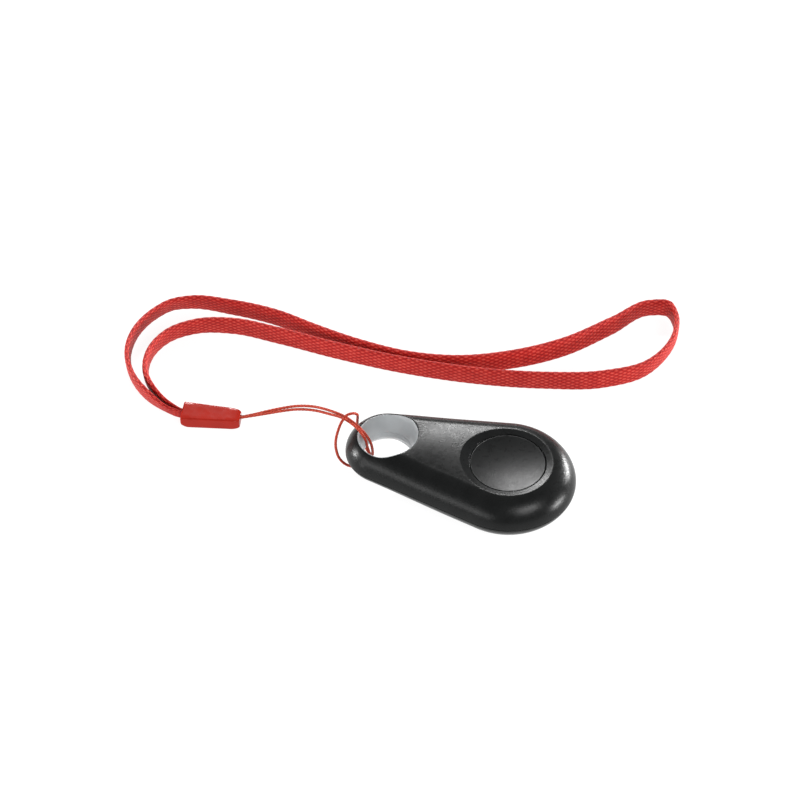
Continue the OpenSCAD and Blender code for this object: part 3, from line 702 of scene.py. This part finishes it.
def sink_profile(turn):
    def at(radius):
        return radius, top_z(WIDE_X + radius * math.cos(turn), radius * math.sin(turn))

    r = sink_rim(turn)
    foot_z = TOP_Z - SINK_DEPTH
    p, corner, foot = at(r + RIM_ROUND), np.array(at(r)), np.array((OPENING_R, foot_z))
    down = (foot - corner) / np.linalg.norm(foot - corner)
    q, near = corner + RIM_ROUND * down, foot - FOOT_ROUND * down
    middle = [tuple(q + (near - q) * s) for s in SINK_SHARES]
    return (
        bend(p, corner, q) + middle + [tuple(near)]
        + bend(near, foot, (OPENING_R, foot_z - FOOT_ROUND), 3)
        + [(OPENING_R, foot_z - 2 * FOOT_ROUND), (OPENING_R, ROOF_Z), (FLANGE_ROOM_R, ROOF_Z)]
    )


def build_top():
    shape = Shape()
    lead = [(v, SEAM_Z + rise) for v, rise in SEAM_EDGE]
    outer = Skin(shape, top_z, lambda turn: sink_rim(turn) + RIM_ROUND, HOLE_R + HOLE_ROUND, lead=lead)

    def roof(x, y):
        return top_z(x, y, WALL)

    inner = Skin(shape, roof, lambda turn: FLANGE_ROOM_R, HOLE_R, wall=WALL, start=WALL)
    shape.strip(outer.first, inner.first)
    rim = profile_loops(shape, outer.wide_turns, WIDE_X, sink_profile)
    shape.loops([outer.wide_loop] + rim + [inner.wide_loop])
    hole = profile_loops(shape, outer.narrow_turns, NARROW_X, hole_profile(top_z, -1))
    shape.loops([outer.narrow_loop] + hole + [inner.narrow_loop])
    shape.make("top_shell_moulded", "case", BLACK_CASE, ["top_shell"])


def fill_disc(shape, skin, height, steps=9):
    loops = [skin.wide_loop]
    first = [shape.points[i] for i in skin.wide_loop]
    for k in range(1, steps):
        share = 1 - k / steps
        ring = [(WIDE_X + (x - WIDE_X) * share, y * share) for x, y, z in first]
        loops.append(shape.add([(x, y, height(x, y)) for x, y in ring]))
    shape.loops(loops)
    shape.fan(loops[-1], (WIDE_X, 0, height(WIDE_X, 0)))


def build_bottom():
    shape = Shape()
    rim_z = SEAM_Z - SEAM_GAP
    lead = [(v, rim_z - fall) for v, fall in SEAM_EDGE]
    outer = Skin(shape, under_z, lambda turn: REST_R, HOLE_R + HOLE_ROUND, lead=lead)

    def inside(x, y):
        return under_z(x, y, WALL)

    inner = Skin(shape, inside, lambda turn: REST_R, HOLE_R, wall=WALL, start=LIP_IN)
    lip = [
        (LIP_OUT, rim_z), (LIP_OUT, LIP_Z - LIP_BEVEL), (LIP_OUT + LIP_BEVEL, LIP_Z),
        (LIP_IN - LIP_EASE, LIP_Z), (LIP_IN, LIP_Z - LIP_EASE),
    ]
    shape.loops([outer.first] + [outer.ring(v, z) for v, z in lip] + [inner.first])
    fill_disc(shape, outer, under_z)
    fill_disc(shape, inner, inside)
    hole = profile_loops(shape, outer.narrow_turns, NARROW_X, hole_profile(under_z, 1))
    shape.loops([outer.narrow_loop] + hole + [inner.narrow_loop])
    shape.make("bottom_shell_moulded", "case", BLACK_CASE, ["bottom_shell"])


build_top()
build_bottom()

# Liner, flush with the case underneath, and with its upper lip a little below the case's surface
LINER_R, LINER_LIP_R, WAIST_R, WAIST_H = 6.75, 6.6, 5.3, 1.1
FLARE_POWER, LEDGE = 1.5, 0.05
LIP_SINK = 0.22
# Small edges of the lips: down from a lip, in from its outside, and out from the bore
EDGE_DOWN, EDGE_IN, EDGE_OUT = 0.05, 0.03, 0.04
FLARE_STEPS, LINER_COUNT = 18, 128
LINER_SHARP = math.radians(60)
THIRDS, QUARTERS = (0, 0.33, 0.66, 1), (0.25, 0.5, 0.75)


def build_liner():
    lip_share = (NARROW_R - LINER_LIP_R) / EDGE_W
    up = (RISE - CROWN * TAIL_LOW) * edge_curve(lip_share, EDGE_POWER) - LIP_SINK
    down = TAIL_DROP * edge_curve(lip_share, UNDER_POWER) - WAIST_H

    def column(turn):
        def top(r):
            return top_z(NARROW_X + r * math.cos(turn), r * math.sin(turn)) - LIP_SINK

        def foot(r):
            return under_z(NARROW_X + r * math.cos(turn), r * math.sin(turn))

        def flare(s, foot_r=WAIST_R):
            return foot_r + (LINER_LIP_R - foot_r) * s ** FLARE_POWER

        rise = [k / FLARE_STEPS for k in range(FLARE_STEPS + 1)]
        lip_top, lip_foot = top(LINER_LIP_R), foot(LINER_LIP_R)
        inside = [(flare(s, WAIST_R + LEDGE), SEAM_Z + up * s) for s in rise]
        last_top = max(lip_top - EDGE_DOWN, inside[-1][1])
        above = [(LINER_LIP_R, inside[-1][1] + (last_top - inside[-1][1]) * s) for s in THIRDS[1:]]
        below = [(flare(s), SEAM_Z - WAIST_H - down * s) for s in rise[::-1]]
        last_foot = min(lip_foot + EDGE_DOWN, below[0][1])
        under = [(LINER_LIP_R, last_foot + (below[0][1] - last_foot) * s) for s in THIRDS[:-1]]
        waist = [(WAIST_R, SEAM_Z - WAIST_H * s) for s in QUARTERS[::-1]]
        waist += bend((WAIST_R, SEAM_Z - LEDGE), (WAIST_R, SEAM_Z), (WAIST_R + LEDGE * 0.8, SEAM_Z))
        out_r, in_r = LINER_R - EDGE_IN, LINER_LIP_R + EDGE_OUT
        out_foot, out_top = foot(LINER_R), top(LINER_R)
        return (
            [(LINER_R, out_foot + EDGE_DOWN), (out_r, out_foot), (in_r, lip_foot)]
            + under + below + waist + inside + above
            + [(in_r, lip_top), (out_r, out_top), (LINER_R, out_top - EDGE_DOWN)]
        )

    shape = Shape()
    turns = [2 * math.pi * k / LINER_COUNT for k in range(LINER_COUNT)]
    loops = profile_loops(shape, turns, NARROW_X, column)
    ends = [(column(turn)[-1][1], column(turn)[0][1]) for turn in turns]
    middle = [
        shape.add([
            (NARROW_X + LINER_R * math.cos(turn), LINER_R * math.sin(turn), high + (low - high) * s)
            for turn, (high, low) in zip(turns, ends)
        ])
        for s in QUARTERS
    ]
    shape.loops(loops + middle + [loops[0]])
    shape.make(
        "eyelet_liner", "case", LINER_GREY, ["eyelet_ring"], sharp=LINER_SHARP, weighted=False
    )


build_liner()

# Button
BUTTON_R, BUTTON_Z, BUTTON_EDGE, BUTTON_COUNT = 8.28, 10.5, 0.22, 144
PIP_R, PIP_Z = 1.6, 8.35
DECK_Z, DECK_R = 9.4, 7.28
FLANGE_R, FLANGE_LOW, FLANGE_HIGH = 8.95, 9.3, 9.9
# Depth of the dish, and its rings from the edge to the middle
DISH = 0.6
DISH_RINGS = (7.9, 7.7, 7.3, 6.7, 6, 5.2, 4.4, 3.6, 2.8, 2, 1.2, 0.5, 0)


def build_button():
    def dish(r):
        return BUTTON_Z - DISH * (1 - (r / BUTTON_R) ** 2)

    edge_z, edge_r = BUTTON_Z - BUTTON_EDGE, BUTTON_R - BUTTON_EDGE
    corners = [
        (0, PIP_Z, 0), (PIP_R, PIP_Z, 0.12), (PIP_R, DECK_Z, 0.12), (DECK_R, DECK_Z, 0.05),
        (DECK_R, FLANGE_LOW, 0.04), (FLANGE_R, FLANGE_LOW, 0.1), (FLANGE_R, FLANGE_HIGH, 0.1),
        (BUTTON_R, FLANGE_HIGH, 0.06), (BUTTON_R, BUTTON_Z - 2 * BUTTON_EDGE, 0), (BUTTON_R, edge_z, 0),
    ]
    profile = rounded(corners)
    profile += bend((BUTTON_R, edge_z), (BUTTON_R, BUTTON_Z), (edge_r, dish(edge_r)), 6)
    profile += [(r, dish(r)) for r in DISH_RINGS]
    shape = Shape()
    turned(shape, profile, WIDE_X, BUTTON_COUNT)
    shape.make("button_dished", "button", BLACK_KEY, ["button_cap"])


build_button()

# Clamp
CLAMP_PLACE, CLAMP_TURN = (-65.6, -0.5), math.radians(11)
CLAMP_L, CLAMP_W, CLAMP_H = 13.4, 5.6, 3.1
NOSE_W, TIP_W, NOSE_L = 4.3, 2.8, 2.6
TUCK_ACROSS, TUCK_W, TUCK_H, TUCK_DEPTH = 0.35, 1.504, 2.528, 4.2
SLOT_Z, SLOT_HALF, SLOT_R, SLOT_TURN, SLOT_DEPTH = 1.95, 0.445, 0.385, math.radians(-35), 4.45
CORNER_STEPS, SIDE_STEPS, NOSE_STEPS = 6, 5, 14
LOW_EDGE, HIGH_EDGE, POCKET_EDGE = 0.55, 0.34, 0.25
# The underside rises at the strap's end, and the nose closes in from below and above
HEEL_RISE, HEEL_L, HEEL_POWER = 0.95, 1.7, 1.6
NOSE_RISE, NOSE_FALL = 0.45, 0.5
MIDDLE_STATIONS = (0.45, 0.6, 0.8, 1.0, 1.2, 1.5, 1.9, 2.4, 3.2, 4.5, 6, 7.5, 9, 10)
# Rings of the strap's pocket and of the string's slot: depth, and how much wider than the hole
POCKET_RINGS = ((0.0, 0.05), (0.03, 0.02), (0.08, 0), (2, 0), (TUCK_DEPTH, 0))
SLOT_RINGS = ((0, 0.1), (0.03, 0.03), (0.1, 0), (2, 0), (SLOT_DEPTH, 0))


def box_loop(x, half, low, high, low_r, high_r, across=0.0):
    """A rounded box outline across the clamp at x, with its own corner radius below and above."""
    low_r, high_r = (min(r, half - 0.01, (high - low) / 2 - 0.01) for r in (low_r, high_r))
    corners = [
        (half - low_r, low + low_r, -90, low_r), (half - high_r, high - high_r, 0, high_r),
        (high_r - half, high - high_r, 90, high_r), (low_r - half, low + low_r, 180, low_r),
    ]
    arcs = []
    for cy, cz, start, r in corners:
        turns = [math.radians(start + 90 * k / CORNER_STEPS) for k in range(CORNER_STEPS + 1)]
        arcs.append([(cy + r * math.cos(turn), cz + r * math.sin(turn)) for turn in turns])
    out = []
    for arc, following in zip(arcs, arcs[1:] + arcs[:1]):
        out += arc
        (y0, z0), (y1, z1) = arc[-1], following[0]
        shares = [k / SIDE_STEPS for k in range(1, SIDE_STEPS)]
        out += [(y0 + (y1 - y0) * s, z0 + (z1 - z0) * s) for s in shares]
    return [(x, across + y, z) for y, z in out]


def slot_loop(x, loop_points, grow):
    """The string's slot, two round holes run into one and turned, with a point for each of the loop's."""
    out = []
    for _, y, z in loop_points:
        turn = math.atan2(z - SLOT_Z, y - TUCK_ACROSS) - SLOT_TURN
        c, s, r = abs(math.cos(turn)), abs(math.sin(turn)), SLOT_R + grow
        far = r / max(s, 1e-6)
        if far * c > SLOT_HALF:
            far = SLOT_HALF * c + math.sqrt(max(r * r - (SLOT_HALF * s) ** 2, 0))
        turn += SLOT_TURN
        out.append((x, TUCK_ACROSS + far * math.cos(turn), SLOT_Z + far * math.sin(turn)))
    return out


def build_clamp():
    nose_x = CLAMP_L - NOSE_L
    turns = [math.radians(90 * k / CORNER_STEPS) for k in range(CORNER_STEPS + 1)]
    stations = [HIGH_EDGE * (1 - math.cos(turn)) for turn in turns]
    stations += [*MIDDLE_STATIONS, nose_x]
    turns = [math.radians(90 * k / NOSE_STEPS) for k in range(1, NOSE_STEPS + 1)]
    stations += [nose_x + NOSE_L * math.sin(turn) for turn in turns]
    shape = Shape()
    loops = []
    for x in stations:
        half = (CLAMP_W + (NOSE_W - CLAMP_W) * min(x / nose_x, 1)) / 2
        low, high = HEEL_RISE * max(1 - x / HEEL_L, 0) ** HEEL_POWER, CLAMP_H
        if x < HIGH_EDGE:
            cut = HIGH_EDGE - math.sqrt(max(HIGH_EDGE ** 2 - (HIGH_EDGE - x) ** 2, 0))
            half, low, high = half - cut, low + cut, high - cut
        if x > nose_x:
            fall = 1 - math.sqrt(max(1 - ((x - nose_x) / NOSE_L) ** 2, 0))
            half -= (NOSE_W - TIP_W) / 2 * fall
            low, high = NOSE_RISE * fall, CLAMP_H - NOSE_FALL * fall
        loops.append(shape.add(box_loop(x, half, low, high, LOW_EDGE, HIGH_EDGE)))
    shape.loops(loops)
    middle = CLAMP_H / 2
    pocket = [
        shape.add(box_loop(
            x, TUCK_W / 2 + grow, middle - TUCK_H / 2 - grow, middle + TUCK_H / 2 + grow,
            POCKET_EDGE, POCKET_EDGE, TUCK_ACROSS,
        ))
        for x, grow in POCKET_RINGS
    ]
    shape.loops([loops[0]] + pocket)
    shape.fan(pocket[-1], (TUCK_DEPTH, TUCK_ACROSS, middle))
    around = [shape.points[i] for i in loops[-1]]
    slot = [shape.add(slot_loop(CLAMP_L - depth, around, grow)) for depth, grow in SLOT_RINGS]
    shape.loops([loops[-1]] + slot)
    shape.fan(slot[-1], (CLAMP_L - SLOT_DEPTH, TUCK_ACROSS, SLOT_Z))
    c, s = math.cos(CLAMP_TURN), math.sin(CLAMP_TURN)
    shape.points = [
        (CLAMP_PLACE[0] + x * c - y * s, CLAMP_PLACE[1] + x * s + y * c, z) for x, y, z in shape.points
    ]
    shape.make("strap_clamp_moulded", "case", CLAMP_RED, ["strap_clamp"])


build_clamp()

# Inner parts, which stay as CAD made them
# For each node the material, its dark and light colour, the scale of its patches, the range of its
# roughness, and the scale, depth and strength of its grain
INNER = {
    "circuit_board": (
        "board_green", (0.008, 0.075, 0.03), (0.012, 0.11, 0.045), 500, (0.28, 0.38), 5000, 0.00002, 0.3,
    ),
    "bluetooth_chip": (
        "chip_epoxy", (0.012, 0.012, 0.012), (0.02, 0.02, 0.02), 900, (0.5, 0.62), 9000, 0.00002, 0.5,
    ),
    "crystal": (
        "crystal_can", (0.6, 0.6, 0.61), (0.68, 0.68, 0.7), 900, (0.2, 0.32), 7000, 0.00001, 0.4,
    ),
    "capacitors": (
        "capacitor_ceramic", (0.28, 0.17, 0.09), (0.36, 0.23, 0.13), 3000, (0.4, 0.55), 9000, 0.00001, 0.4,
    ),
    "resistors": (
        "resistor_film", (0.015, 0.015, 0.018), (0.03, 0.03, 0.034), 3000, (0.3, 0.45), 9000, 0.00001, 0.4,
    ),
    "status_led": (
        "lens_cream", (0.72, 0.7, 0.6), (0.8, 0.78, 0.68), 2500, (0.12, 0.2), 6000, 0.00001, 0.2,
    ),
    "antenna": (
        "trace_copper", (0.62, 0.3, 0.14), (0.7, 0.36, 0.18), 2500, (0.25, 0.4), 8000, 0.00001, 0.4,
    ),
    "switch_base": (
        "switch_plastic", (0.02, 0.02, 0.02), (0.035, 0.035, 0.035), 1500, (0.4, 0.5), 8000, 0.00001, 0.4,
    ),
    "switch_legs": (
        "leg_tin", (0.55, 0.55, 0.57), (0.65, 0.65, 0.67), 2500, (0.25, 0.4), 8000, 0.00001, 0.5,
    ),
    "switch_dome": (
        "dome_steel", (0.6, 0.6, 0.61), (0.7, 0.7, 0.71), 1500, (0.15, 0.25), 8000, 0.00001, 0.3,
    ),
    "switch_plunger": (
        "plunger_red", (0.22, 0.025, 0.022), (0.3, 0.035, 0.03), 1500, (0.35, 0.45), 8000, 0.00001, 0.3,
    ),
    "switch_cover": (
        "cover_steel", (0.5, 0.5, 0.51), (0.6, 0.6, 0.62), 1500, (0.2, 0.35), 9000, 0.00001, 0.4,
    ),
    "battery_can": (
        "can_steel", (0.48, 0.49, 0.5), (0.58, 0.59, 0.6), 400, (0.22, 0.34), 9000, 0.00001, 0.5,
    ),
    "battery_gasket": (
        "gasket_nylon", (0.05, 0.05, 0.052), (0.07, 0.07, 0.072), 600, (0.45, 0.6), 5000, 0.00002, 0.4,
    ),
    "battery_cap": (
        "cap_steel", (0.52, 0.53, 0.54), (0.62, 0.63, 0.64), 400, (0.18, 0.3), 9000, 0.00001, 0.5,
    ),
    "battery_core": (
        "core_powder", (0.03, 0.03, 0.034), (0.06, 0.06, 0.064), 900, (0.7, 0.85), 4000, 0.00005, 0.8,
    ),
    "positive_contact": (
        "contact_bronze", (0.5, 0.38, 0.17), (0.62, 0.48, 0.24), 900, (0.22, 0.36), 9000, 0.00001, 0.5,
    ),
    "negative_contact": (
        "leaf_bronze", (0.5, 0.38, 0.17), (0.62, 0.48, 0.24), 900, (0.22, 0.36), 9000, 0.00001, 0.5,
    ),
}
METAL_NODES = {
    "crystal", "antenna", "switch_legs", "switch_dome", "switch_cover", "battery_can",
    "battery_cap", "positive_contact", "negative_contact",
}
for node, values in INNER.items():
    sockets = {"Metallic": 1.0} if node in METAL_NODES else {}
    finish = finish_of(*values, **sockets)
    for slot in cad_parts[node].material_slots:
        slot.material = finish

# Floor and light
FLOOR_HALF, FLOOR_Z = 1.6, -0.00004
floor_mesh = bpy.data.meshes.new("floor")
floor_corners = [(-1, -1), (1, -1), (1, 1), (-1, 1)]
floor_points = [(x * FLOOR_HALF, y * FLOOR_HALF, FLOOR_Z) for x, y in floor_corners]
floor_mesh.from_pydata(floor_points, [], [(0, 1, 2, 3)])
floor = bpy.data.objects.new("floor", floor_mesh)
floor_mesh.materials.append(FLOOR_WHITE)
bpy.context.scene.collection.objects.link(floor)

WORLD_STRENGTH = 0.2
world = bpy.data.worlds.new("studio")
world.use_nodes = True
world.node_tree.nodes["Background"].inputs["Color"].default_value = (1, 1, 1, 1)
world.node_tree.nodes["Background"].inputs["Strength"].default_value = WORLD_STRENGTH
bpy.context.scene.world = world

# Azimuth and elevation in degrees, then distance, width and height in metres, and radiance
LAMPS = {
    "box_back": (111, 35, 0.9, 0.24, 0.13, 62),
    "box_back_low": (121, 22, 0.9, 0.16, 0.12, 36),
    "box_right": (-35, 43, 0.9, 0.45, 0.28, 12),
    "box_left": (-122, 18, 0.9, 0.8, 0.2, 6),
    "strip_right": (56, 4, 0.8, 0.3, 0.06, 120),
    "strip_front_right": (9, 3, 0.8, 0.2, 0.05, 150),
    "spot_tip": (-170, 5, 0.8, 0.1, 0.08, 160),
    "spot_tip_front": (-139, 3, 0.8, 0.1, 0.06, 25),
}
LAMP_AIM = Vector((0.005, 0, 0.008))


def lamp(name, azimuth, elevation, distance, width, height, radiance):
    """A soft box of one brightness that faces the case."""
    a, e = math.radians(azimuth), math.radians(elevation)
    place = LAMP_AIM + Vector((math.cos(e) * math.cos(a), math.cos(e) * math.sin(a), math.sin(e))) * distance
    light = bpy.data.lights.new(name, "AREA")
    light.shape = "RECTANGLE"
    light.size, light.size_y = width, height
    light.energy = radiance * math.pi * width * height
    item = bpy.data.objects.new(name, light)
    item.location = place
    item.rotation_euler = (LAMP_AIM - place).to_track_quat("-Z", "Y").to_euler()
    bpy.context.scene.collection.objects.link(item)


for name, values in LAMPS.items():
    lamp(name, *values)

bpy.context.scene.view_settings.view_transform = "Standard"
bpy.context.scene.view_settings.look = "None"
